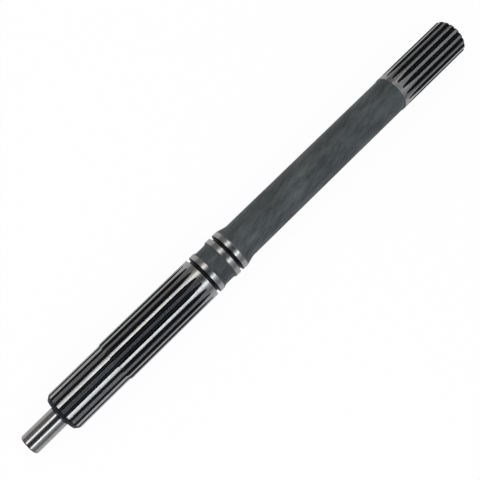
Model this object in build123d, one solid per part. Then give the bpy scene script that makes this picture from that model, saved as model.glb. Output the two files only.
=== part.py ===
"""Splined transmission shaft, turned, hobbed and ground from one bar of steel.

The axis of the shaft is the X axis. The origin is on it, at the shoulder where the pilot journal
meets the long spline. The pilot points to -X and the drive spline to +X. The shaft lies level, as
on a bench: both splines have a tooth on top and a tooth space underneath. Lengths are millimetres.
"""

from build123d import *
from math import acos, atan2, cos, pi, radians, sin, sqrt, tan
import os

# Splines: 16/32 diametral pitch, so one module is 25.4 / 16
module = 1.5875
pressure_angle = 30.0
root_form_drop = 1.0  # from the pitch circle down to where the flanks meet the round root
flank_points = 5  # points of the true involute that each flank's curve passes through
root_points = 6  # points along the round root; the flats between them lie within 0.02 mm of it
cutter_radius = 66.0  # of the milling cutter that leaves the lancet-shaped ends of the spaces

# Pilot journal, which turns in a bush or needle bearing
pilot_diameter = 15.0
pilot_length = 27.6
pilot_chamfer = 0.8
relief_width = 1.5  # grinding relief in the corner at the shoulder
relief_depth = 0.3

# Long spline, with its outer stretch turned down so that a hub slides on freely
long_teeth = 19
long_diameter = 31.0
eased_diameter = 29.7
eased_length = 46.3
lead_diameter = 25.4  # where the lead chamfer starts, just below the tooth roots
lead_angle = 35.0  # of the lead chamfer, from the axis
ease_angle = 20.0  # of the slope up from the eased stretch to full size
full_length = 78.4  # full size, from that slope to the first ring groove
long_tip_land = 3.9  # plain land between the points of the tooth spaces and that groove

# Sealing-ring grooves, their lands and the waist between them
groove_width = 2.8
groove_depth = 2.4
inner_land_width = 3.7
outer_land_width = 3.8
waist_width = 11.3
waist_diameter = 29.0
waist_radius = 5.0

# Neck down to the body, the body, and the flare up to the drive spline
body_diameter = 27.1
body_length = 148.8
neck_angle = 15.5
neck_radius = 12.0
flare_length = 2.7

# Drive spline at the far end, with a plain ground band before its teeth
drive_teeth = 17
drive_diameter = 27.9
drive_length = 64.6
drive_tip_land = 4.0  # plain band between the flare and the points of the tooth spaces
drive_chamfer = 1.1

# Centre holes that the shaft was turned and ground between, 60 degrees across the cone
centre_angle = 60.0
centre_drill_angle = 118.0
pilot_centre_mouth = 4.2
pilot_centre_drill = 2.0
pilot_centre_depth = 5.0
drive_centre_mouth = 6.7
drive_centre_drill = 3.15
drive_centre_depth = 8.0

cut_margin = 0.6  # how far the cutters reach past the metal


def involute(angle):
    """The involute function of an angle in radians."""
    return tan(angle) - angle


def flank_point(teeth, radius):
    """A point on the flank of the tooth space that is centred on the Y axis of the sketch."""
    base_radius = module * teeth / 2 * cos(radians(pressure_angle))
    half_space = pi / (2 * teeth) - involute(radians(pressure_angle))
    turn = half_space + involute(acos(base_radius / radius))
    return Vector(radius * sin(turn), radius * cos(turn))


def root_arc(teeth):
    """Centre height and radius of the round root, tangent to both flanks at the form radius.

    The normal to an involute flank touches the base circle, so it also points at the centre of
    the root arc where it crosses the middle of the space.
    """
    pitch_radius = module * teeth / 2
    form_radius = pitch_radius - root_form_drop
    base_radius = pitch_radius * cos(radians(pressure_angle))
    form = flank_point(teeth, form_radius)
    touch_turn = atan2(form.X, form.Y) + acos(base_radius / form_radius)
    radius = form.X / cos(touch_turn)
    return form.Y + radius * sin(touch_turn), radius


def root_radius(teeth):
    """Radius from the shaft's axis to the bottom of a tooth space."""
    height, radius = root_arc(teeth)
    return height - radius


def space_profile(teeth, outer_radius):
    """One tooth space with two involute flanks and a round root, centred on the sketch's Y axis."""
    form_radius = module * teeth / 2 - root_form_drop
    flank_height = outer_radius + cut_margin - form_radius
    heights = [form_radius + flank_height * i / (flank_points - 1) for i in range(flank_points)]
    flank = Spline([flank_point(teeth, height) for height in heights])
    form, top = flank @ 0, flank @ 1
    round_root = ThreePointArc((-form.X, form.Y), (0, root_radius(teeth)), form)
    root = Polyline([round_root @ (i / (root_points - 1)) for i in range(root_points)])
    closing = Line(top, (-top.X, top.Y))
    return make_face(Curve() + [root, flank, closing, mirror(flank, about=Plane.YZ)])


def runout_length(teeth, outer_radius):
    """Length over which the cutter rises out of the metal, from full depth to the point."""
    depth = outer_radius - root_radius(teeth)
    return sqrt(2 * cutter_radius * depth - depth**2)


def space_cutter(teeth, outer_radius, open_end, tip):
    """The solid that mills the top tooth space, from its open end to the point of its run-out."""
    side = 1 if tip > open_end else -1
    full_depth_end = tip - side * runout_length(teeth, outer_radius)
    rise = outer_radius - root_radius(teeth) + cut_margin
    sweep = acos(1 - rise / cutter_radius)
    across = Plane((full_depth_end, 0, 0), x_dir=(0, 1, 0), z_dir=(1, 0, 0))
    profile = across * space_profile(teeth, outer_radius)
    straight = extrude(profile, abs(full_depth_end - open_end) + cut_margin, dir=(-side, 0, 0))
    hinge = Axis((full_depth_end, 0, root_radius(teeth) + cutter_radius), (0, -side, 0))
    return straight + revolve(profile, hinge, sweep * 180 / pi)


def tooth_spaces(teeth, outer_radius, open_end, tip):
    """All the tooth spaces of one spline, set so that a tooth stands on top."""
    cutter = space_cutter(teeth, outer_radius, open_end, tip)
    return [Rot(X=(i + 0.5) * 360 / teeth) * cutter for i in range(teeth)]


def centre_hole(mouth, drill, depth):
    """Half section of a centre hole whose mouth is at the sketch's origin and which runs to +X."""
    cone_length = (mouth - drill) / 2 / tan(radians(centre_angle / 2))
    point_length = drill / 2 / tan(radians(centre_drill_angle / 2))
    outline = Polyline(
        (-cut_margin, 0),
        (-cut_margin, mouth / 2),
        (0, mouth / 2),
        (cone_length, drill / 2),
        (depth, drill / 2),
        (depth + point_length, 0),
        close=True,
    )
    return make_face(outline)


# Stations along the axis, from the shoulder at 0
eased_end = eased_length
full_start = eased_end + (long_diameter - eased_diameter) / 2 / tan(radians(ease_angle))
groove_1 = full_start + full_length
land_1 = groove_1 + groove_width
waist_start = land_1 + inner_land_width
waist_end = waist_start + waist_width
groove_2 = waist_end + outer_land_width
land_2 = groove_2 + groove_width
neck_start = land_2 + outer_land_width
neck_drop = (long_diameter - body_diameter) / 2
neck_wall = neck_drop / sin(radians(neck_angle))
neck_blend = min(neck_radius * tan(radians(neck_angle / 2)), 0.9 * neck_wall)
neck_foot = neck_start + neck_drop / tan(radians(neck_angle))
body_start = neck_foot + neck_blend
body_end = neck_foot + body_length
band_start = body_end + flare_length
drive_end = band_start + drive_length


def shaft_outline():
    """Half section of the turned and ground blank, before any tooth space is cut."""
    pilot, lead, eased = pilot_diameter / 2, lead_diameter / 2, eased_diameter / 2
    full, waist = long_diameter / 2, waist_diameter / 2
    body, drive = body_diameter / 2, drive_diameter / 2
    floor = full - groove_depth
    lead_length = (eased - lead) / tan(radians(lead_angle))
    waist_run = sqrt(2 * waist_radius * (full - waist) - (full - waist) ** 2)
    cone_foot = (
        neck_foot - neck_blend * cos(radians(neck_angle)),
        body + neck_blend * sin(radians(neck_angle)),
    )
    pilot_end = Polyline(
        (-pilot_length, 0),
        (-pilot_length, pilot - pilot_chamfer),
        (-pilot_length + pilot_chamfer, pilot),
        (-relief_width, pilot),
    )
    relief_floor = (-relief_width / 2, pilot - relief_depth)
    relief = ThreePointArc((-relief_width, pilot), relief_floor, (0, pilot))
    long_spline = Polyline(
        (0, pilot),
        (0, lead),
        (lead_length, eased),
        (eased_end, eased),
        (full_start, full),
        (groove_1, full),
        (groove_1, floor),
        (land_1, floor),
        (land_1, full),
        (waist_start, full),
    )
    waist_in = TangentArc((waist_start + waist_run, waist), (waist_start, full), tangent=(-1, 0))
    waist_flat = Line((waist_start + waist_run, waist), (waist_end - waist_run, waist))
    waist_out = TangentArc((waist_end - waist_run, waist), (waist_end, full), tangent=(1, 0))
    second_groove = Polyline(
        (waist_end, full),
        (groove_2, full),
        (groove_2, floor),
        (land_2, floor),
        (land_2, full),
        (neck_start, full),
        cone_foot,
    )
    neck = TangentArc((body_start, body), cone_foot, tangent=(-1, 0))
    long_body = Line((body_start, body), (body_end, body))
    flare = TangentArc((body_end, body), (band_start, drive), tangent=(1, 0))
    drive_spline = Polyline(
        (band_start, drive),
        (drive_end - drive_chamfer, drive),
        (drive_end, drive - drive_chamfer),
        (drive_end, 0),
        (-pilot_length, 0),
    )
    return [
        pilot_end,
        relief,
        long_spline,
        waist_in,
        waist_flat,
        waist_out,
        second_groove,
        neck,
        long_body,
        flare,
        drive_spline,
    ]


def splined_shaft():
    """The finished shaft, one piece of steel."""
    blank = revolve(make_face(Curve() + shaft_outline()), Axis.X)
    pilot_hole = centre_hole(pilot_centre_mouth, pilot_centre_drill, pilot_centre_depth)
    drive_hole = centre_hole(drive_centre_mouth, drive_centre_drill, drive_centre_depth)
    holes = [
        revolve(Pos(-pilot_length, 0) * pilot_hole, Axis.X),
        revolve(Pos(drive_end, 0) * mirror(drive_hole, about=Plane.YZ), Axis.X),
    ]
    long_spaces = tooth_spaces(long_teeth, long_diameter / 2, 0, groove_1 - long_tip_land)
    drive_spaces = tooth_spaces(
        drive_teeth, drive_diameter / 2, drive_end, band_start + drive_tip_land
    )
    return blank - holes - long_spaces - drive_spaces


os.makedirs("parts", exist_ok=True)
shaft = splined_shaft()
print("solids", len(shaft.solids()), "length", round(drive_end + pilot_length, 2))
export_step(shaft, "parts/splined_shaft.step")
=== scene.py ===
"""Dress-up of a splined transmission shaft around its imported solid.

The shaft lies along the X axis, pilot journal to -X, and everything is in metres. One operator
makes the shaft with its finishes, and one makes the stage that it lies on.
"""

from math import acos, atan2, cos, pi, radians, sin, sqrt, tan

import bmesh
import bpy
import numpy as np
from bpy.props import FloatProperty, FloatVectorProperty, IntProperty, PointerProperty
from mathutils import Matrix, Vector


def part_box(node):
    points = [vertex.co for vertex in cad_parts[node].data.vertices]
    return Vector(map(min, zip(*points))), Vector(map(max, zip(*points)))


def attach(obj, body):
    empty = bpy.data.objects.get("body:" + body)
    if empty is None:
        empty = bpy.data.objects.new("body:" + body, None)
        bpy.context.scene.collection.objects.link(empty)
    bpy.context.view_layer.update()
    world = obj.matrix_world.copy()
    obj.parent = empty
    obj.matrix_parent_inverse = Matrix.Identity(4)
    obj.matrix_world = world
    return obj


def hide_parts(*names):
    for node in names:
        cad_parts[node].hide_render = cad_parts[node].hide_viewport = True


bl_info = {
    "name": "Splined Shaft",
    "version": (1, 0, 0),
    "blender": (4, 5, 0),
    "location": "View3D > Sidebar > Shaft",
    "description": "A turned, hobbed and ground splined shaft and the stage that it lies on",
    "category": "Add Mesh",
}

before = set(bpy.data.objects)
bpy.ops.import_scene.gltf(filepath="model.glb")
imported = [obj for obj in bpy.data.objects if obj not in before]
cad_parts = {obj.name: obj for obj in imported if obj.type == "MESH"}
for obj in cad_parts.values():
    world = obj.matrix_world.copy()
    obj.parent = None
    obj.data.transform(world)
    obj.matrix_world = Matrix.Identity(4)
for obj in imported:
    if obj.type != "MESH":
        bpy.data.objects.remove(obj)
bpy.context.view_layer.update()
NODE = "splined_shaft"
low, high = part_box(NODE)

# Finishes, in the order of the shaft's material slots
# BLACK also goes on the ring grooves, where its darkness over the body's skin is painted shade
GROUND, HEAT_TREATED, BLACK, TURNED, POLISHED = range(5)

SPACE_POINTS = 9  # from the middle of a tooth space up to its edge
CREST_POINTS = 4  # from that edge to the middle of the tooth
FLANK_STEPS, ROOT_STEPS = 60, 40  # of the exact space, from which those points are taken
FLANK_REACH = 1.04  # of the blank's radius, where the exact flanks end
RUNOUT_RINGS = 26  # along the run-out of a tooth space
RUNOUT_EASE = 1.6  # crowds them towards the points of the tooth spaces
BEVEL_SHARE = 0.3  # of a space's depth that its broken edges take at most
BLEND_SHARE = 0.9  # of the neck's wall that its blend takes at most
CREST_SHARE = 0.98  # of half a tooth pitch that a space takes at most
LEAST_DEPTH = 2e-6  # of a tooth space that is still cut
BRIDGE = 0.006  # length of body between the rings of the two splines
FACE_RING = 0.0004  # below the roots, a plain ring on the drive end face
SAME_POINT = 1e-7  # points nearer than this are one
SHARP = radians(26)  # edges that turn by more stay crisp
SOFT_EDGE = 0.6  # wear on the edges of the waist and neck, where 1 is that of a full corner


# ---- Sizes, colours and light that a user would change ----


def length(name, description, default):
    """A length in metres, shown in the scene's units."""
    return FloatProperty(
        name=name, description=description, default=default, min=0.0, precision=5, unit="LENGTH"
    )


def angle(name, description, default):
    """An angle, given here in degrees."""
    return FloatProperty(
        name=name, description=description, default=radians(default), min=0.0, unit="ROTATION"
    )


def share(name, description, default):
    """A plain factor."""
    return FloatProperty(
        name=name, description=description, default=default, min=0.0, max=1.0, subtype="FACTOR"
    )


def colour(name, description, default):
    """A linear colour."""
    return FloatVectorProperty(
        name=name,
        description=description,
        default=default,
        size=3,
        min=0.0,
        max=1.0,
        subtype="COLOR",
    )


class ShaftSizes(bpy.types.PropertyGroup):
    """Sizes of the shaft, from the pilot journal to the drive spline."""

    module: length("Module", "Pitch diameter of a spline over its number of teeth", 0.0015875)
    pressure_angle: angle("Pressure angle", "Slope of the tooth flanks at the pitch circle", 30)
    root_form_drop: length(
        "Root form drop", "From the pitch circle down to where the flanks meet the root", 0.001
    )
    cutter_radius: length("Cutter radius", "Of the cutter that leaves the lancet ends", 0.066)
    edge_break: length("Edge break", "Of the edges of teeth, lands and grooves", 0.0001)
    pilot_diameter: length("Pilot diameter", "Ground journal at the end", 0.015)
    pilot_length: length("Pilot length", "From the end face to the shoulder", -low.x)
    pilot_chamfer: length("Pilot chamfer", "At the end of the pilot journal", 0.0008)
    relief_width: length("Relief width", "Grinding relief in the corner at the shoulder", 0.0015)
    relief_depth: length("Relief depth", "Grinding relief in the corner at the shoulder", 0.0003)
    long_teeth: IntProperty(
        name="Long spline teeth", description="Teeth of the spline at the pilot", default=19, min=6
    )
    long_diameter: length("Long spline diameter", "Over the teeth, at full size", 2 * high.z)
    eased_diameter: length("Eased diameter", "Over the teeth of the turned-down stretch", 0.0297)
    eased_length: length("Eased length", "Turned-down stretch, from the shoulder", 0.0463)
    lead_diameter: length("Lead diameter", "Where the lead chamfer starts", 0.0254)
    lead_angle: angle("Lead angle", "Of the lead chamfer from the axis", 35)
    ease_angle: angle("Ease angle", "Of the slope up to full size", 20)
    full_length: length("Full length", "From that slope to the first ring groove", 0.0784)
    long_tip_land: length("Tip land", "From the points of the spaces to that groove", 0.0039)
    groove_width: length("Groove width", "Of the sealing-ring grooves", 0.0028)
    groove_depth: length("Groove depth", "Of the sealing-ring grooves", 0.0024)
    inner_land_width: length("Inner land", "Between the first groove and the waist", 0.0037)
    outer_land_width: length("Outer land", "Each side of the second groove", 0.0038)
    waist_width: length("Waist width", "Between the two ring grooves", 0.0113)
    waist_diameter: length("Waist diameter", "Between the two ring grooves", 0.029)
    waist_radius: length("Waist radius", "Of the tool that turned the waist's ends", 0.005)
    body_diameter: length("Body diameter", "Plain body", 0.0271)
    body_length: length("Body length", "From the neck to the flare", 0.1488)
    neck_angle: angle("Neck angle", "Slope from the last land down to the body", 15.5)
    neck_radius: length("Neck radius", "Where that slope runs into the body", 0.012)
    flare_length: length("Flare length", "Rise from the body to the drive spline", 0.0027)
    ground_start: length("Ground start", "Dark rim at the start of the ground band", 0.0011)
    drive_teeth: IntProperty(
        name="Drive spline teeth", description="Teeth of the far spline", default=17, min=6
    )
    drive_diameter: length("Drive spline diameter", "Over the teeth", 0.0279)
    drive_length: length("Drive spline length", "With its plain ground band", 0.0646)
    drive_tip_land: length("Band", "From the flare to the points of the spaces", 0.004)
    drive_chamfer: length("Drive chamfer", "At the far end", 0.0011)
    centre_angle: angle("Centre angle", "Across the cone of the centre holes", 60)
    drill_angle: angle("Drill angle", "Across the point of the centre drill", 118)
    pilot_centre_mouth: length("Pilot centre mouth", "Of its centre hole", 0.0042)
    pilot_centre_drill: length("Pilot centre drill", "Of its centre hole", 0.002)
    pilot_centre_depth: length("Pilot centre depth", "Of its centre hole", 0.005)
    drive_centre_mouth: length("Drive centre mouth", "Of its centre hole", 0.0067)
    drive_centre_drill: length("Drive centre drill", "Of its centre hole", 0.00315)
    drive_centre_depth: length("Drive centre depth", "Of its centre hole", 0.008)


class ShaftFinish(bpy.types.PropertyGroup):
    """Colours and textures of the shaft's finishes."""

    ground_light: colour("Ground light", "Ground steel, bright marks", (0.37, 0.374, 0.378))
    ground_dark: colour("Ground dark", "Ground steel, dull marks", (0.26, 0.26, 0.256))
    ground_roughness: share("Ground roughness", "Middle roughness of the ground steel", 0.27)
    journal_roughness: share("Journal roughness", "Middle roughness of the journal", 0.18)
    mark_spacing: length("Mark spacing", "Between the grinding marks", 0.00022)
    treated_light: colour("Treated light", "Heat-treated skin, pale patches", (0.112, 0.127, 0.133))
    treated_dark: colour("Treated dark", "Heat-treated skin, dark patches", (0.027, 0.0315, 0.0335))
    treated_roughness: share("Treated roughness", "Middle roughness of that skin", 0.56)
    streak_twist: FloatProperty(
        name="Streak twist",
        description="Turn of the streaks round the shaft per metre of its length",
        default=17.0,
        subtype="ANGLE",
    )
    # The black colours also darken the ring grooves, as painted shade
    black_light: colour("Black light", "Tooth spaces, pale patches", (0.009, 0.0125, 0.019))
    black_dark: colour("Black dark", "Tooth spaces, dark patches", (0.004, 0.005, 0.0067))
    black_roughness: share("Black roughness", "Middle roughness of the tooth spaces", 0.45)
    turned_light: colour("Turned light", "End faces, bright marks", (0.22, 0.225, 0.23))
    turned_dark: colour("Turned dark", "End faces, dull marks", (0.09, 0.095, 0.1))
    nick_colour: colour("Nicks", "In the ground steel", (0.12, 0.12, 0.125))
    worn_treated: colour("Worn skin", "Heat-treated skin rubbed through", (0.4, 0.4, 0.4))
    worn_black: colour("Worn black", "Black edges rubbed through", (0.25, 0.25, 0.26))


class StageLook(bpy.types.PropertyGroup):
    """Floor, cards, lamps and camera."""

    floor_colour: colour("Floor", "Pale floor", (0.9, 0.9, 0.9))
    floor_glow: share("Floor glow", "Share of white in the floor, to the camera", 0.96)
    floor_glow_in_gloss: share("Floor glow in gloss", "The same, as seen in the metal", 0.35)
    world_light: share("World light", "Strength of the white world as a light", 0.6)
    lamp_level: FloatProperty(
        name="Lamp level", description="Power of a lamp", default=1.3, min=0.0, unit="POWER"
    )
    lamp_angle: angle("Lamp angle", "Of the lamps from straight above", 34)
    lamp_distance: length("Lamp distance", "From the shaft to a lamp", 0.62)
    lamp_width: length("Lamp width", "Across the shaft", 0.16)
    lamp_length: length("Lamp length", "Along the shaft", 1.0)
    view_tilt: angle("View tilt", "Of the view from straight down, towards the drive end", 9.6)
    view_turn: angle("View turn", "Of the shaft in the view, up to the right", 44.16)
    view_station: length("View station", "Point of the axis in the middle of the view", 0.16287)
    view_side: length("View side", "Of that point beside the axis", 0.00033)
    view_distance: length("View distance", "From the camera to that point", 0.5292)
    focal_length: FloatProperty(
        name="Focal length", description="Of the lens", default=58.5, unit="CAMERA"
    )


# ---- Shape of the shaft ----


def involute(turn):
    """The involute function of an angle."""
    return np.tan(turn) - turn


class ToothSpaces:
    """The tooth spaces of one spline: involute flanks, a round root and run-outs from a cutter."""

    def __init__(self, sizes, teeth, diameter, tip, side):
        self.teeth = teeth
        pitch = sizes.module * teeth / 2
        base = pitch * cos(sizes.pressure_angle)
        form = pitch - sizes.root_form_drop
        radii = np.linspace(form, diameter / 2 * FLANK_REACH, FLANK_STEPS)
        half_space = pi / (2 * teeth) - involute(sizes.pressure_angle)
        turns = half_space + involute(np.arccos(base / radii))
        flank_across, flank_up = radii * np.sin(turns), radii * np.cos(turns)
        touch = turns[0] + acos(base / form)
        arc = flank_across[0] / cos(touch)
        centre = flank_up[0] + arc * sin(touch)
        sweep = np.linspace(0, pi / 2 - touch, ROOT_STEPS)[:-1]
        self.across = np.concatenate([arc * np.sin(sweep), flank_across])
        self.up = np.concatenate([centre - arc * np.cos(sweep), flank_up])
        self.root = centre - arc
        self.cutter = sizes.cutter_radius
        depth = diameter / 2 - self.root
        self.tip, self.side = tip, side
        self.runout = sqrt(2 * self.cutter * depth - depth**2)

    def ring(self, x, radius, edge_break):
        """Turns and radii of half a tooth pitch at a station, from the space to the tooth.

        Past the points of the spaces, or where the blank is smaller than their roots, the points
        of the space fall together and leave a plain circle.
        """
        half_pitch = pi / self.teeth
        past = max(0.0, self.runout - self.side * (self.tip - x))
        plain = np.linspace(0, half_pitch, CREST_POINTS + 1)
        flat = np.concatenate([np.zeros(SPACE_POINTS + 2), plain])
        if past >= self.runout:
            return flat, np.full(flat.shape, radius)
        hinge = self.root + self.cutter
        lifted = hinge - np.sqrt((hinge - self.up) ** 2 - past**2)
        reach = np.hypot(self.across, lifted)
        depth = radius - reach[0]
        if depth < LEAST_DEPTH:
            return flat, np.full(flat.shape, radius)
        bevel = min(edge_break, BEVEL_SHARE * depth)
        run = np.concatenate([[0], np.cumsum(np.hypot(np.diff(self.across), np.diff(lifted)))])
        stops = np.linspace(0, np.interp(radius - bevel, reach, run), SPACE_POINTS + 1)
        across, up = np.interp(stops, run, self.across), np.interp(stops, run, lifted)
        turns, radii = np.arctan2(across, up), np.hypot(across, up)
        corner = np.arctan2(
            np.interp(radius, reach, self.across), np.interp(radius, reach, lifted)
        )
        crest = min(corner + bevel / radius, half_pitch * CREST_SHARE)
        middle = (turns[-1] + 2 * corner + crest) / 4
        middle_radius = (radii[-1] + 3 * radius) / 4
        land = np.linspace(crest, half_pitch, CREST_POINTS + 1)
        return (
            np.concatenate([turns, [middle], land]),
            np.concatenate([radii, [middle_radius], np.full(land.shape, radius)]),
        )


def arc_points(start, end, centre, count):
    """Points of the shorter arc after start, up to and with end."""
    first = atan2(start[1] - centre[1], start[0] - centre[0])
    last = atan2(end[1] - centre[1], end[0] - centre[0])
    sweep = (last - first + pi) % (2 * pi) - pi
    radius = sqrt((start[0] - centre[0]) ** 2 + (start[1] - centre[1]) ** 2)
    return [
        (
            centre[0] + radius * cos(first + sweep * i / count),
            centre[1] + radius * sin(first + sweep * i / count),
        )
        for i in range(1, count)
    ] + [end]


class Outline:
    """The shaft's half section, walked from the bottom of one centre hole to that of the other."""

    def __init__(self, start):
        self.points, self.finishes, self.edges, self.faces = [start], [], [0.0], [None]

    def to(self, point, finish, edge=0.0, face=None):
        """Goes straight on to a point. An edge above 0 shows more wear.

        On an end face, face is the radius at its rim: the ring then keeps the turns of that rim.
        """
        if (Vector(point) - Vector(self.points[-1])).length > SAME_POINT:
            self.points.append(point)
            self.finishes.append(finish)
            self.edges.append(edge)
            self.faces.append(face)

    def stations(self, positions, finish):
        """Goes on through several points of one finish."""
        for x, radius in positions:
            self.to((x, radius), finish)

    def corner(self, point, after, width, finish, next_finish):
        """Goes to a corner that is broken over a width, heading for the point after it."""
        here, there = Vector(point), Vector(after)
        come = (here - Vector(self.points[-1])).normalized() * width
        leave = (there - here).normalized() * width
        start, end = here - come, here + leave
        middle = (start + end + 2 * here) / 4
        self.to(tuple(start), finish, 1.0)
        self.to(tuple(middle), finish, 1.0)
        self.to(tuple(end), next_finish, 1.0)


def stations_of(sizes):
    """Places along the axis, from the shoulder at 0, by name."""
    ease_rise = (sizes.long_diameter - sizes.eased_diameter) / 2
    at = {"full_start": sizes.eased_length + ease_rise / tan(sizes.ease_angle)}
    at["groove_1"] = at["full_start"] + sizes.full_length
    at["land_1"] = at["groove_1"] + sizes.groove_width
    at["waist_start"] = at["land_1"] + sizes.inner_land_width
    at["waist_end"] = at["waist_start"] + sizes.waist_width
    at["groove_2"] = at["waist_end"] + sizes.outer_land_width
    at["land_2"] = at["groove_2"] + sizes.groove_width
    at["neck_start"] = at["land_2"] + sizes.outer_land_width
    drop = (sizes.long_diameter - sizes.body_diameter) / 2
    at["neck_foot"] = at["neck_start"] + drop / tan(sizes.neck_angle)
    wall = drop / sin(sizes.neck_angle)
    at["blend"] = min(sizes.neck_radius * tan(sizes.neck_angle / 2), BLEND_SHARE * wall)
    at["body_start"] = at["neck_foot"] + at["blend"]
    at["body_end"] = at["neck_foot"] + sizes.body_length
    at["band_start"] = at["body_end"] + sizes.flare_length
    at["drive_end"] = at["band_start"] + sizes.drive_length
    return at


def line_points(start, end, count, ease=1.0):
    """Points of a line after start, up to and with end, crowded near the end by an ease above 1."""
    left = [(1 - i / count) ** ease for i in range(1, count + 1)]
    return [
        tuple(there + (here - there) * part for here, there in zip(start, end)) for part in left
    ]


def pilot_half(sizes, at, spaces):
    """Outline from the pilot's centre hole to the start of the body."""
    pilot, lead, eased = sizes.pilot_diameter / 2, sizes.lead_diameter / 2, sizes.eased_diameter / 2
    full, waist, body = sizes.long_diameter / 2, sizes.waist_diameter / 2, sizes.body_diameter / 2
    floor, end = full - sizes.groove_depth, -sizes.pilot_length
    drill, mouth = sizes.pilot_centre_drill / 2, sizes.pilot_centre_mouth / 2
    cone = (mouth - drill) / tan(sizes.centre_angle / 2)
    point = drill / tan(sizes.drill_angle / 2)
    bevel = sizes.edge_break
    walk = Outline((end + sizes.pilot_centre_depth + point, 0.0))
    walk.to((end + sizes.pilot_centre_depth, drill), BLACK)
    walk.to((end + cone, drill), BLACK)
    walk.to((end, mouth), GROUND, 1.0)
    rim, rim_radius = end + sizes.pilot_chamfer, pilot - sizes.pilot_chamfer
    walk.corner((end, rim_radius), (rim, pilot), bevel / 2, TURNED, BLACK)
    walk.corner((rim, pilot), (0, pilot), bevel / 2, BLACK, POLISHED)
    walk.stations(line_points((end, pilot), (0, pilot), count=6)[:-1], POLISHED)
    walk.to((-sizes.relief_width, pilot), POLISHED)
    half, sag = sizes.relief_width / 2, sizes.relief_depth
    dish = (half**2 + sag**2) / (2 * sag)
    centre = (-half, pilot - sag + dish)
    walk.stations(arc_points((-sizes.relief_width, pilot), (0.0, pilot), centre, count=8), POLISHED)
    lead_end = (eased - lead) / tan(sizes.lead_angle)
    walk.corner((0.0, lead), (lead_end, eased), bevel, BLACK, BLACK)
    cross = (spaces.root - lead) / tan(sizes.lead_angle)
    walk.to((cross, spaces.root), BLACK)
    near_end = (lead_end - 2 * bevel, eased - 2 * bevel * tan(sizes.lead_angle))
    walk.stations(line_points((cross, spaces.root), near_end, count=7, ease=0.7), BLACK)
    walk.corner((lead_end, eased), (sizes.eased_length, eased), bevel, BLACK, GROUND)
    walk.stations(line_points((lead_end, eased), (sizes.eased_length, eased), count=8), GROUND)
    walk.corner((at["full_start"], full), (at["groove_1"], full), bevel, GROUND, GROUND)
    deep_end = spaces.tip - spaces.runout
    walk.stations(line_points((at["full_start"], full), (deep_end, full), count=10), GROUND)
    runout = line_points((deep_end, full), (spaces.tip, full), RUNOUT_RINGS, RUNOUT_EASE)
    walk.stations(runout, GROUND)
    # The ring groove's walls and floor get the black colour, which is painted shade, darker than
    # the body's skin
    walk.corner((at["groove_1"], full), (at["groove_1"], floor), bevel, GROUND, BLACK)
    walk.to((at["groove_1"], floor), BLACK)
    walk.to((at["land_1"], floor), BLACK)
    walk.corner((at["land_1"], full), (at["waist_start"], full), bevel, BLACK, GROUND)
    run = sqrt(2 * sizes.waist_radius * (full - waist) - (full - waist) ** 2)
    start, end = at["waist_start"], at["waist_end"]
    walk.to((start, full), GROUND, SOFT_EDGE)
    centre = (start + run, waist + sizes.waist_radius)
    walk.stations(arc_points((start, full), (start + run, waist), centre, count=9), HEAT_TREATED)
    walk.to((end - run, waist), HEAT_TREATED)
    centre = (end - run, waist + sizes.waist_radius)
    walk.stations(arc_points((end - run, waist), (end, full), centre, count=9), HEAT_TREATED)
    walk.edges[-1] = SOFT_EDGE
    # The ring groove's walls and floor get the black colour, which is painted shade, darker than
    # the body's skin
    walk.corner((at["groove_2"], full), (at["groove_2"], floor), bevel, GROUND, BLACK)
    walk.to((at["groove_2"], floor), BLACK)
    walk.to((at["land_2"], floor), BLACK)
    walk.corner((at["land_2"], full), (at["neck_start"], full), bevel, BLACK, GROUND)
    walk.to((at["neck_start"], full), GROUND, SOFT_EDGE)
    foot, blend = at["neck_foot"], at["blend"]
    cone_foot = (foot - blend * cos(sizes.neck_angle), body + blend * sin(sizes.neck_angle))
    walk.stations(line_points((at["neck_start"], full), cone_foot, count=4), HEAT_TREATED)
    bend = blend / tan(sizes.neck_angle / 2)
    centre = (at["body_start"], body + bend)
    walk.stations(arc_points(cone_foot, (at["body_start"], body), centre, count=8), HEAT_TREATED)
    return walk


def drive_half(sizes, at, spaces):
    """Outline from the body to the centre hole of the drive spline."""
    body, drive = sizes.body_diameter / 2, sizes.drive_diameter / 2
    drill, mouth = sizes.drive_centre_drill / 2, sizes.drive_centre_mouth / 2
    cone = (mouth - drill) / tan(sizes.centre_angle / 2)
    point = drill / tan(sizes.drill_angle / 2)
    band, end, bevel = at["band_start"], at["drive_end"], sizes.edge_break
    start = at["body_start"] + BRIDGE
    walk = Outline((start, body))
    walk.stations(line_points((start, body), (at["body_end"], body), count=8), HEAT_TREATED)
    rise = drive - body
    bend = (sizes.flare_length**2 + rise**2) / (2 * rise)
    centre = (at["body_end"], body + bend)
    walk.stations(arc_points((at["body_end"], body), (band, drive), centre, count=7), HEAT_TREATED)
    walk.to((band + sizes.ground_start, drive), HEAT_TREATED)
    walk.to((spaces.tip, drive), GROUND)
    deep_end = spaces.tip + spaces.runout
    runout = line_points((deep_end, drive), (spaces.tip, drive), RUNOUT_RINGS, RUNOUT_EASE)
    walk.stations(runout[-2::-1], GROUND)
    walk.to((deep_end, drive), GROUND)
    rim, rim_radius = end - sizes.drive_chamfer, drive - sizes.drive_chamfer
    walk.stations(line_points((deep_end, drive), (rim, drive), count=8)[:-1], GROUND)
    walk.corner((rim, drive), (end, rim_radius), bevel, GROUND, BLACK)
    walk.to((end - sizes.drive_chamfer / 2, drive - sizes.drive_chamfer / 2), BLACK)
    walk.to((end, rim_radius), BLACK)
    walk.to((end, spaces.root - FACE_RING), TURNED, face=rim_radius)
    walk.to((end, mouth), TURNED, 1.0)
    walk.to((end - cone, drill), GROUND)
    walk.to((end - sizes.drive_centre_depth, drill), BLACK)
    walk.to((end - sizes.drive_centre_depth - point, 0.0), BLACK)
    return walk


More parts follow.
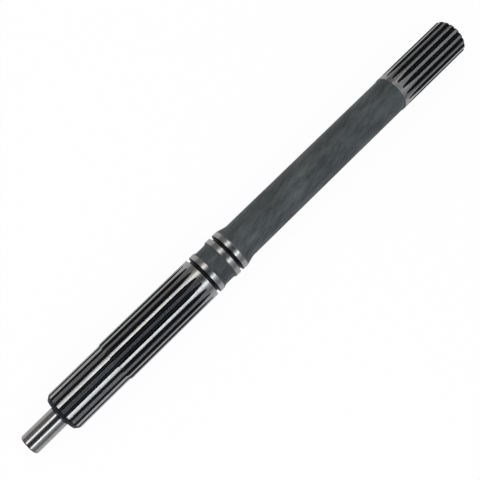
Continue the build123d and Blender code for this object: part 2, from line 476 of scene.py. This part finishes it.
def ring_faces(walk, spaces, edge_break):
    """Rings of points for an outline, the quads between them, and their wear and finishes."""
    teeth = spaces.teeth
    half = SPACE_POINTS + 2 + CREST_POINTS
    per_pitch = 2 * half
    count = teeth * per_pitch
    pitch_starts = (np.arange(teeth) + 0.5) * 2 * pi / teeth
    along = np.abs(np.arange(-half + 1, half + 1))
    on_edge = (along >= SPACE_POINTS) & (along <= SPACE_POINTS + 2)
    places, wear = [], []
    for (x, radius), edge, face in zip(walk.points, walk.edges, walk.faces):
        turns, radii = spaces.ring(x, face or radius, edge_break)
        if face:
            radii = np.full(radii.shape, radius)
        cut = on_edge * float(turns[SPACE_POINTS] > 0)
        turns = np.concatenate([-turns[-2:0:-1], turns])
        radii = np.concatenate([radii[-2:0:-1], radii])
        turn = (pitch_starts[:, None] + turns[None, :]).ravel()
        reach = np.tile(radii, teeth)
        places.append(np.stack([np.full(count, x), reach * np.sin(turn), reach * np.cos(turn)], 1))
        wear.append(np.maximum(edge, np.tile(cut, teeth)))
    faces, finishes = [], []
    for ring, finish in enumerate(walk.finishes):
        here, there = ring * count, (ring + 1) * count
        for i in range(count):
            j = (i + 1) % count
            faces.append((here + i, there + i, there + j, here + j))
            in_space = max(along[i % per_pitch], along[j % per_pitch]) <= SPACE_POINTS + 2
            finishes.append(BLACK if in_space and finish == GROUND else finish)
    return np.concatenate(places), np.concatenate(wear), faces, finishes, count


def joined(places, wear, faces, finishes):
    """The same mesh with points that fall together made one, and faces with no area dropped."""
    cells = np.round(places / SAME_POINT).astype(np.int64)
    _, first, index = np.unique(cells, axis=0, return_index=True, return_inverse=True)
    index = index.ravel().tolist()
    kept_faces, kept_finishes = [], []
    for face, finish in zip(faces, finishes):
        corners = []
        for v in (index[i] for i in face):
            if v not in corners:
                corners.append(v)
        if len(corners) > 2:
            kept_faces.append(corners)
            kept_finishes.append(finish)
    return places[first], wear[first], kept_faces, kept_finishes


def zipped(ring_a, ring_b, places):
    """Triangles between two plain rings with different numbers of points."""

    def ordered(ring):
        """The ring's points and their turns, in order of turn, with the first again at the end."""
        seen = {}
        for v in ring:
            seen.setdefault(tuple(np.round(places[v] / SAME_POINT).astype(int)), v)
        turn = {v: (atan2(places[v][1], places[v][2]) + 1e-5) % (2 * pi) for v in seen.values()}
        order = sorted(turn, key=turn.get)
        return order + order[:1], [turn[v] for v in order] + [turn[order[0]] + 2 * pi]

    (a, turns_a), (b, turns_b) = ordered(ring_a), ordered(ring_b)
    i = j = 0
    faces = []
    while i < len(a) - 1 or j < len(b) - 1:
        a_next = i < len(a) - 1 and (j == len(b) - 1 or turns_a[i + 1] <= turns_b[j + 1])
        if a_next:
            faces.append((a[i], b[j], a[i + 1]))
            i += 1
        else:
            faces.append((a[i], b[j], b[j + 1]))
            j += 1
    return faces


def shaft_mesh(sizes):
    """The whole shaft as one closed mesh."""
    at = stations_of(sizes)
    if abs(at["drive_end"] - high.x) > 1e-4:
        raise RuntimeError("the sizes don't add up to the length of the solid")
    long_spaces = ToothSpaces(
        sizes, sizes.long_teeth, sizes.long_diameter, at["groove_1"] - sizes.long_tip_land, 1
    )
    drive_spaces = ToothSpaces(
        sizes, sizes.drive_teeth, sizes.drive_diameter, at["band_start"] + sizes.drive_tip_land, -1
    )
    near = ring_faces(pilot_half(sizes, at, long_spaces), long_spaces, sizes.edge_break)
    far = ring_faces(drive_half(sizes, at, drive_spaces), drive_spaces, sizes.edge_break)
    places, wear = np.concatenate([near[0], far[0]]), np.concatenate([near[1], far[1]])
    shift = len(near[0])
    faces = near[2] + [tuple(v + shift for v in face) for face in far[2]]
    finishes = near[3] + far[3]
    bridge = zipped(range(shift - near[4], shift), range(shift, shift + far[4]), places)
    faces += bridge
    finishes += [HEAT_TREATED] * len(bridge)
    places, wear, faces, finishes = joined(places, wear, faces, finishes)
    mesh = bpy.data.meshes.new("shaft")
    mesh.from_pydata([tuple(p) for p in places], [], faces)
    mesh.polygons.foreach_set("material_index", finishes)
    mesh.attributes.new("edge_share", "FLOAT", "POINT").data.foreach_set(
        "value", wear.astype(np.float32)
    )
    built = bmesh.new()
    built.from_mesh(mesh)
    loose = [v for v in built.verts if not v.link_faces]
    bmesh.ops.delete(built, geom=loose, context="VERTS")
    for face in built.faces:
        face.smooth = True
    for edge in built.edges:
        sides = edge.link_faces
        if len(sides) != 2:
            raise RuntimeError("the shaft's mesh is not closed")
        split = {side.material_index for side in sides} == {BLACK, GROUND}
        edge.smooth = not (split or edge.calc_face_angle(0.0) > SHARP)
    built.to_mesh(mesh)
    built.free()
    mesh.update()
    return mesh


# ---- Effects that more than one finish uses ----


def new_group(name, inputs, outputs):
    """An empty shader group with its sockets, as (group, inputs node, outputs node)."""
    group = bpy.data.node_groups.new(name, "ShaderNodeTree")
    for title, default in inputs:
        socket = group.interface.new_socket(
            name=title, in_out="INPUT", socket_type="NodeSocketFloat"
        )
        socket.default_value = default
    for title in outputs:
        group.interface.new_socket(name=title, in_out="OUTPUT", socket_type="NodeSocketFloat")
    return group, group.nodes.new("NodeGroupInput"), group.nodes.new("NodeGroupOutput")


def set_or_link(tree, socket, value):
    """Feeds a socket with a number or with another socket."""
    if isinstance(value, bpy.types.NodeSocket):
        tree.links.new(value, socket)
    else:
        socket.default_value = value


def maths(tree, operation, first, second=0.0, clamp=False):
    """A Math node. Returns its output."""
    node = tree.nodes.new("ShaderNodeMath")
    node.operation, node.use_clamp = operation, clamp
    set_or_link(tree, node.inputs[0], first)
    set_or_link(tree, node.inputs[1], second)
    return node.outputs[0]


def stretched(tree, factor, start, end, low_end=0.0, high_end=1.0):
    """A Map Range node from start..end to low_end..high_end, clamped. Returns its output."""
    node = tree.nodes.new("ShaderNodeMapRange")
    for name, value in (
        ("Value", factor),
        ("From Min", start),
        ("From Max", end),
        ("To Min", low_end),
        ("To Max", high_end),
    ):
        set_or_link(tree, node.inputs[name], value)
    return node.outputs["Result"]


def noise(tree, vector, scale, detail, roughness=0.5):
    """A Noise Texture. Returns its factor."""
    node = tree.nodes.new("ShaderNodeTexNoise")
    for name, value in (
        ("Vector", vector),
        ("Scale", scale),
        ("Detail", detail),
        ("Roughness", roughness),
    ):
        set_or_link(tree, node.inputs[name], value)
    return node.outputs["Fac"]


def weighted(tree, *pairs):
    """The sum of some values, each times its weight."""
    total = None
    for value, weight in pairs:
        part = maths(tree, "MULTIPLY", value, weight)
        total = part if total is None else maths(tree, "ADD", total, part)
    return total


def own_place(tree):
    """The point on the shaft and its X, Y and Z."""
    point = tree.nodes.new("ShaderNodeTexCoord").outputs["Object"]
    split = tree.nodes.new("ShaderNodeSeparateXYZ")
    tree.links.new(point, split.inputs[0])
    return point, tuple(split.outputs)


def vector_of(tree, x, y, z):
    """A Combine XYZ node. Returns its output."""
    node = tree.nodes.new("ShaderNodeCombineXYZ")
    for socket, value in zip(node.inputs, (x, y, z)):
        tree.links.new(value, socket)
    return node.outputs[0]


OUTWARD_WALK = 0.8  # how far a step out from the axis counts, against one along it
COARSE_WALK = 0.17  # how far one counts for the coarse marks, against the fine ones


def turning_marks_group():
    """Fine lines that run round the shaft on its cylinders and in circles on its end faces.

    The lines are level with the distance walked along the axis and out from it.
    """
    group, given, out = new_group(
        "turning_marks",
        [("Spacing", 0.0002), ("Wander", 60.0), ("Coarse Share", 0.4)],
        ["Marks", "Height"],
    )
    _, (x, y, z) = own_place(group)
    squares = maths(group, "ADD", maths(group, "POWER", y, 2.0), maths(group, "POWER", z, 2.0))
    reach = maths(group, "SQRT", squares)
    walked = maths(group, "ADD", x, maths(group, "MULTIPLY", reach, OUTWARD_WALK))
    fine_walk = maths(group, "DIVIDE", walked, given.outputs["Spacing"])
    coarse_walk = maths(group, "MULTIPLY", fine_walk, COARSE_WALK)
    side = maths(group, "MULTIPLY", y, given.outputs["Wander"])
    rise = maths(group, "MULTIPLY", z, given.outputs["Wander"])
    fine = noise(group, vector_of(group, fine_walk, side, rise), 1.0, 3.0, 0.65)
    coarse = noise(group, vector_of(group, coarse_walk, side, rise), 1.0, 2.0)
    mixed = group.nodes.new("ShaderNodeMix")
    group.links.new(given.outputs["Coarse Share"], mixed.inputs["Factor"])
    group.links.new(fine, mixed.inputs["A"])
    group.links.new(coarse, mixed.inputs["B"])
    group.links.new(stretched(group, mixed.outputs["Result"], 0.3, 0.7), out.inputs["Marks"])
    group.links.new(mixed.outputs["Result"], out.inputs["Height"])
    return group


def patches_group():
    """Soft patches that can be drawn out along the shaft and twisted round it as streaks."""
    group, given, out = new_group(
        "patches",
        [("Size", 0.01), ("Draw Out", 1.0), ("Twist", 0.0), ("Contrast", 1.0), ("Detail", 3.0)],
        ["Patches"],
    )
    point, (x, _, _) = own_place(group)
    turn = group.nodes.new("ShaderNodeVectorRotate")
    turn.rotation_type = "X_AXIS"
    group.links.new(point, turn.inputs["Vector"])
    group.links.new(maths(group, "MULTIPLY", x, given.outputs["Twist"]), turn.inputs["Angle"])
    split = group.nodes.new("ShaderNodeSeparateXYZ")
    group.links.new(turn.outputs[0], split.inputs[0])
    drawn = maths(group, "DIVIDE", split.outputs[0], given.outputs["Draw Out"])
    scale = maths(group, "DIVIDE", 1.0, given.outputs["Size"])
    place = vector_of(group, drawn, split.outputs[1], split.outputs[2])
    cloud = noise(group, place, scale, given.outputs["Detail"])
    spread = maths(group, "DIVIDE", 0.25, given.outputs["Contrast"])
    start, end = maths(group, "SUBTRACT", 0.5, spread), maths(group, "ADD", 0.5, spread)
    group.links.new(stretched(group, cloud, start, end), out.inputs["Patches"])
    return group


def edge_wear_group():
    """Where broken edges have been rubbed bright, with gaps."""
    group, given, out = new_group("edge_wear", [("Amount", 0.6), ("Gap Size", 0.003)], ["Wear"])
    edge = group.nodes.new("ShaderNodeAttribute")
    edge.attribute_name = "edge_share"
    point, _ = own_place(group)
    gaps = noise(group, point, maths(group, "DIVIDE", 1.0, given.outputs["Gap Size"]), 3.0, 0.6)
    worn = maths(group, "MULTIPLY", edge.outputs["Fac"], stretched(group, gaps, 0.35, 0.6))
    worn = maths(group, "MULTIPLY", worn, given.outputs["Amount"], clamp=True)
    group.links.new(worn, out.inputs["Wear"])
    return group


def nicks_group():
    """Small scattered nicks and specks from handling."""
    group, given, out = new_group("nicks", [("Size", 0.0012), ("Amount", 0.5)], ["Nicks"])
    point, _ = own_place(group)
    cells = group.nodes.new("ShaderNodeTexVoronoi")
    group.links.new(point, cells.inputs["Vector"])
    group.links.new(maths(group, "DIVIDE", 1.0, given.outputs["Size"]), cells.inputs["Scale"])
    dots = stretched(group, cells.outputs["Distance"], 0.16, 0.06)
    few = stretched(group, noise(group, point, 140.0, 2.0), 0.58, 0.68)
    nicks = maths(group, "MULTIPLY", maths(group, "MULTIPLY", dots, few), given.outputs["Amount"])
    group.links.new(nicks, out.inputs["Nicks"])
    return group


# ---- Finishes ----


def placed(tree, group, **values):
    """A group in a material, with its own values. Spaces in socket names are underscores here."""
    node = tree.nodes.new("ShaderNodeGroup")
    node.node_tree = group
    for name, value in values.items():
        node.inputs[name.replace("_", " ")].default_value = value
    return node.outputs


def blended(tree, factor, first, second):
    """A colour mix of two colours or sockets. Returns its result."""
    node = tree.nodes.new("ShaderNodeMix")
    node.data_type = "RGBA"
    tree.links.new(factor, node.inputs[0])
    for socket, value in zip((node.inputs[6], node.inputs[7]), (first, second)):
        is_socket = isinstance(value, bpy.types.NodeSocket)
        set_or_link(tree, socket, value if is_socket else (*value, 1.0))
    return node.outputs[2]


def bumped(tree, height, distance):
    """A Bump node. Returns its normal."""
    node = tree.nodes.new("ShaderNodeBump")
    node.inputs["Distance"].default_value = distance
    tree.links.new(height, node.inputs["Height"])
    return node.outputs["Normal"]


def new_finish(name, metallic):
    """A material with a Principled BSDF, as (material, node tree, shader)."""
    material = bpy.data.materials.new(name)
    material.use_nodes = True
    tree = material.node_tree
    shader = tree.nodes["Principled BSDF"]
    shader.inputs["Metallic"].default_value = metallic
    return material, tree, shader


def ground_steel(name, look, effects, middle, depth):
    """Ground steel, where middle is its roughness and depth that of its grinding marks."""
    material, tree, shader = new_finish(name, 1.0)
    spacing = look.mark_spacing
    marks = placed(tree, effects["marks"], Spacing=spacing, Wander=45.0, Coarse_Share=0.45)
    clouds = placed(tree, effects["patches"], Size=0.012, Draw_Out=1.6, Contrast=1.3, Detail=3.0)
    nicks = placed(tree, effects["nicks"], Size=0.0011, Amount=0.6)
    tone = weighted(tree, (marks["Marks"], 0.7), (clouds["Patches"], 0.3))
    steel = blended(tree, tone, look.ground_dark, look.ground_light)
    steel = blended(tree, nicks["Nicks"], steel, look.nick_colour)
    tree.links.new(steel, shader.inputs["Base Color"])
    tree.links.new(
        stretched(tree, tone, 0.0, 1.0, middle + 0.07, middle - 0.04), shader.inputs["Roughness"]
    )
    tree.links.new(bumped(tree, marks["Height"], depth), shader.inputs["Normal"])
    return material


def ground_finish(look, effects):
    """Ground tooth crests, lands and band."""
    return ground_steel("ground_steel", look, effects, look.ground_roughness, depth=3e-7)


def polished_finish(look, effects):
    """Fine-ground journal."""
    return ground_steel("journal_steel", look, effects, look.journal_roughness, depth=6e-7)


def treated_finish(look, effects):
    """Dark grey heat-treated skin of the body, waist, neck and flare."""
    material, tree, shader = new_finish("heat_treated_steel", 0.55)
    twist = look.streak_twist
    streaks = placed(
        tree, effects["patches"], Size=0.0021, Draw_Out=4.5, Twist=twist, Contrast=1.2, Detail=3.0
    )
    clouds = placed(tree, effects["patches"], Size=0.014, Draw_Out=1.8, Contrast=1.2, Detail=4.0)
    grain = placed(tree, effects["patches"], Size=0.0007, Contrast=0.9, Detail=4.0)
    wear = placed(tree, effects["wear"], Amount=0.25)
    tone = weighted(
        tree, (streaks["Patches"], 0.38), (clouds["Patches"], 0.42), (grain["Patches"], 0.2)
    )
    skin = blended(tree, tone, look.treated_dark, look.treated_light)
    skin = blended(tree, wear["Wear"], skin, look.worn_treated)
    tree.links.new(skin, shader.inputs["Base Color"])
    middle = look.treated_roughness
    tree.links.new(
        stretched(tree, tone, 0.0, 1.0, middle + 0.08, middle - 0.08), shader.inputs["Roughness"]
    )
    height = weighted(tree, (grain["Patches"], 1.0), (streaks["Patches"], 0.6))
    tree.links.new(bumped(tree, height, distance=1e-5), shader.inputs["Normal"])
    return material


def near_black_and_groove_shade(look, effects):
    """Near-black, bluish colour of the tooth spaces, ring grooves, chamfers and shoulder. In the
    ring grooves its darkness over the body's skin is painted shade.
    """
    material, tree, shader = new_finish("near_black_steel_and_groove_shade", 0.5)
    shader.inputs["Specular IOR Level"].default_value = 0.24
    clouds = placed(tree, effects["patches"], Size=0.006, Draw_Out=4.0, Contrast=1.2, Detail=3.0)
    grain = placed(tree, effects["patches"], Size=0.0006, Contrast=0.9, Detail=3.0)
    wear = placed(tree, effects["wear"], Amount=0.06)
    tone = weighted(tree, (clouds["Patches"], 0.65), (grain["Patches"], 0.35))
    skin = blended(tree, tone, look.black_dark, look.black_light)
    skin = blended(tree, wear["Wear"], skin, look.worn_black)
    tree.links.new(skin, shader.inputs["Base Color"])
    middle = look.black_roughness
    tree.links.new(
        stretched(tree, tone, 0.0, 1.0, middle - 0.06, middle + 0.08), shader.inputs["Roughness"]
    )
    tree.links.new(bumped(tree, grain["Patches"], distance=8e-6), shader.inputs["Normal"])
    return material


def turned_finish(look, effects):
    """Turned end faces, with the tool's circles showing through the dark skin."""
    material, tree, shader = new_finish("turned_steel", 0.85)
    marks = placed(tree, effects["marks"], Spacing=0.0003, Wander=25.0, Coarse_Share=0.35)
    clouds = placed(tree, effects["patches"], Size=0.005, Contrast=1.2, Detail=3.0)
    tone = weighted(tree, (marks["Marks"], 0.6), (clouds["Patches"], 0.4))
    skin = blended(tree, tone, look.turned_dark, look.turned_light)
    tree.links.new(skin, shader.inputs["Base Color"])
    tree.links.new(stretched(tree, tone, 0.0, 1.0, 0.46, 0.32), shader.inputs["Roughness"])
    tree.links.new(bumped(tree, marks["Height"], distance=1e-5), shader.inputs["Normal"])
    return material


# ---- Stage ----


FLOOR = 4.0  # from the middle of the floor to its rim


def rectangle(name, corners):
    """A flat stage piece from its four corners."""
    mesh = bpy.data.meshes.new(name)
    mesh.from_pydata(corners, [], [(0, 1, 2, 3)])
    piece = bpy.data.objects.new(name, mesh)
    bpy.context.scene.collection.objects.link(piece)
    return piece


def seen_rays(tree):
    """1 for rays from the camera, and 1 for rays that gloss or glass sends on, else 0."""
    path = tree.nodes.new("ShaderNodeLightPath").outputs
    gloss = maths(tree, "MAXIMUM", path["Is Glossy Ray"], path["Is Transmission Ray"])
    return path["Is Camera Ray"], gloss


def floor_material(look):
    """Pale floor with a soft shadow. It glows, less in gloss, so that metal shows its shadow."""
    material = bpy.data.materials.new("pale_floor")
    material.use_nodes = True
    tree = material.node_tree
    shader = tree.nodes["Principled BSDF"]
    shader.inputs["Base Color"].default_value = (*look.floor_colour, 1.0)
    shader.inputs["Roughness"].default_value = 0.9
    shader.inputs["Specular IOR Level"].default_value = 0.0
    glow = tree.nodes.new("ShaderNodeEmission")
    mix = tree.nodes.new("ShaderNodeMixShader")
    camera, gloss = seen_rays(tree)
    camera_glow = maths(tree, "MULTIPLY", camera, look.floor_glow)
    gloss_glow = maths(tree, "MULTIPLY", gloss, look.floor_glow_in_gloss)
    tree.links.new(maths(tree, "MAXIMUM", camera_glow, gloss_glow), mix.inputs[0])
    tree.links.new(shader.outputs[0], mix.inputs[1])
    tree.links.new(glow.outputs[0], mix.inputs[2])
    tree.links.new(mix.outputs[0], tree.nodes["Material Output"].inputs[0])
    return material


def card_material(name, grey):
    """Matt card."""
    material = bpy.data.materials.new(name)
    material.use_nodes = True
    shader = material.node_tree.nodes["Principled BSDF"]
    shader.inputs["Base Color"].default_value = (*grey, 1.0)
    shader.inputs["Roughness"].default_value = 1.0
    shader.inputs["Specular IOR Level"].default_value = 0.0
    return material


def turned_to(place, right, up, back):
    """The matrix of something at a place that looks away from back."""
    return Matrix.Translation(place) @ Matrix((right, up, back)).transposed().to_4x4()


def soft_lamp(name, place, size, power, tint):
    """A long soft lamp that shines square on the shaft."""
    light = bpy.data.lights.new(name, "AREA")
    light.shape = "RECTANGLE"
    light.size, light.size_y = size
    light.energy = power
    light.color = tint
    lamp = bpy.data.objects.new(name, light)
    bpy.context.scene.collection.objects.link(lamp)
    along = Vector((1, 0, 0))
    back = Vector((0, place[1], place[2])).normalized()
    lamp.matrix_world = turned_to(place, along, back.cross(along), back)
    lamp.visible_camera = False


def white_world(look):
    """White all round to the eye and in gloss, and dim as a light."""
    world = bpy.data.worlds.new("white_room")
    bpy.context.scene.world = world
    world.use_nodes = True
    tree = world.node_tree
    back = tree.nodes["Background"]
    back.inputs["Color"].default_value = (1.0, 1.0, 1.0, 1.0)
    seen = maths(tree, "MAXIMUM", *seen_rays(tree))
    tree.links.new(
        stretched(tree, seen, 0.0, 1.0, look.world_light, 1.0), back.inputs["Strength"]
    )


def place_camera(look):
    """The camera above the shaft, rolled so that the shaft rises to the right."""
    data = bpy.data.cameras.new("camera")
    data.lens, data.sensor_width = look.focal_length, 36.0
    data.clip_start, data.clip_end = 0.01, 50.0
    camera = bpy.data.objects.new("camera", data)
    bpy.context.scene.collection.objects.link(camera)
    tilt, turn = look.view_tilt, look.view_turn
    ahead = Vector((sin(tilt), 0, -cos(tilt)))
    along, side = Vector((cos(tilt), 0, sin(tilt))), Vector((0, 1, 0))
    right = cos(turn) * along - sin(turn) * side
    up = sin(turn) * along + cos(turn) * side
    place = Vector((look.view_station, look.view_side, 0)) - look.view_distance * ahead
    camera.matrix_world = turned_to(place, right, up, -ahead)
    bpy.context.scene.camera = camera


# ---- Operators and panel ----


class SHAFT_OT_build_shaft(bpy.types.Operator):
    """Makes the splined shaft with its finishes in place of the plain solid."""

    bl_idname = "shaft.build_shaft"
    bl_label = "Build Shaft"

    def execute(self, context):
        sizes, look = context.scene.shaft_sizes, context.scene.shaft_finish
        mesh = shaft_mesh(sizes)
        effects = {
            "marks": turning_marks_group(),
            "patches": patches_group(),
            "wear": edge_wear_group(),
            "nicks": nicks_group(),
        }
        for make in (ground_finish, treated_finish, near_black_and_groove_shade, turned_finish, polished_finish):
            mesh.materials.append(make(look, effects))
        piece = bpy.data.objects.new("shaft", mesh)
        context.scene.collection.objects.link(piece)
        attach(piece, "root")
        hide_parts(NODE)
        return {"FINISHED"}


class SHAFT_OT_build_stage(bpy.types.Operator):
    """Makes the floor, the cards, the lamps and the camera."""

    bl_idname = "shaft.build_stage"
    bl_label = "Build Stage"

    def execute(self, context):
        look = context.scene.stage_look
        ground = low.z
        rims = [(-FLOOR, -FLOOR), (FLOOR, -FLOOR), (FLOOR, FLOOR), (-FLOOR, FLOOR)]
        floor = rectangle("floor", [(x, y, ground) for x, y in rims])
        floor.data.materials.append(floor_material(look))
        # Name, start and end along the shaft, y and z of one edge, then of the other, and colour
        cards = [
            ("overhead_card", -1.2, 0.55, 0.31, 0.66, -0.31, 0.66, (0.052, 0.066, 0.082)),
            ("end_card", 0.5, 1.7, 0.6, 0.67, -0.6, 0.67, (0.95, 0.95, 0.94)),
            ("bounce_card", -1.2, 0.7, -0.46, 0.44, -0.56, 0.3, (0.75, 0.77, 0.79)),
            ("left_card", -1.2, 1.6, 0.7, -0.01, 0.55, 0.62, (0.36, 0.34, 0.32)),
            ("right_card", -1.2, 1.6, -0.55, 0.62, -0.7, -0.01, (0.38, 0.4, 0.42)),
        ]
        for name, x0, x1, y0, z0, y1, z1, grey in cards:
            card = rectangle(name, [(x0, y0, z0), (x1, y0, z0), (x1, y1, z1), (x0, y1, z1)])
            card.data.materials.append(card_material(name, grey))
            card.visible_camera = card.visible_diffuse = card.visible_shadow = False
        # Name, side of the shaft, lean, shares of width and power, and tint
        lamps = [
            ("left_lamp", 1, radians(-2.0), 1.05, 1.0, (1.0, 0.975, 0.94)),
            ("right_lamp", -1, radians(0.5), 0.92, 1.03, (0.96, 0.985, 1.0)),
        ]
        for name, side, lean, width, power, tint in lamps:
            turn = look.lamp_angle + lean
            place = (0.0, side * look.lamp_distance * sin(turn), look.lamp_distance * cos(turn))
            size = (look.lamp_length, look.lamp_width * width)
            soft_lamp(name, place, size, look.lamp_level * power, tint)
        white_world(look)
        place_camera(look)
        context.scene.view_settings.view_transform = "Standard"
        return {"FINISHED"}


class SHAFT_PT_panel(bpy.types.Panel):
    """Lists the operators and what they read."""

    bl_label = "Splined Shaft"
    bl_idname = "SHAFT_PT_panel"
    bl_space_type = "VIEW_3D"
    bl_region_type = "UI"
    bl_category = "Shaft"

    def draw(self, context):
        layout = self.layout
        for operator in (SHAFT_OT_build_shaft, SHAFT_OT_build_stage):
            layout.operator(operator.bl_idname)
        for name in ("shaft_sizes", "shaft_finish", "stage_look"):
            group = getattr(context.scene, name)
            box = layout.box()
            for key in type(group).__annotations__:
                box.prop(group, key)


CLASSES = (
    ShaftSizes,
    ShaftFinish,
    StageLook,
    SHAFT_OT_build_shaft,
    SHAFT_OT_build_stage,
    SHAFT_PT_panel,
)


def register():
    """Registers the classes and hangs the settings on the scene."""
    for cls in CLASSES:
        bpy.utils.register_class(cls)
    bpy.types.Scene.shaft_sizes = PointerProperty(type=ShaftSizes)
    bpy.types.Scene.shaft_finish = PointerProperty(type=ShaftFinish)
    bpy.types.Scene.stage_look = PointerProperty(type=StageLook)


def unregister():
    """Takes the settings and the classes away again."""
    for name in ("shaft_sizes", "shaft_finish", "stage_look"):
        delattr(bpy.types.Scene, name)
    for cls in reversed(CLASSES):
        bpy.utils.unregister_class(cls)


def main():
    """Builds the shaft and its stage."""
    register()
    bpy.ops.shaft.build_shaft()
    bpy.ops.shaft.build_stage()


if __name__ == "__main__":
    main()
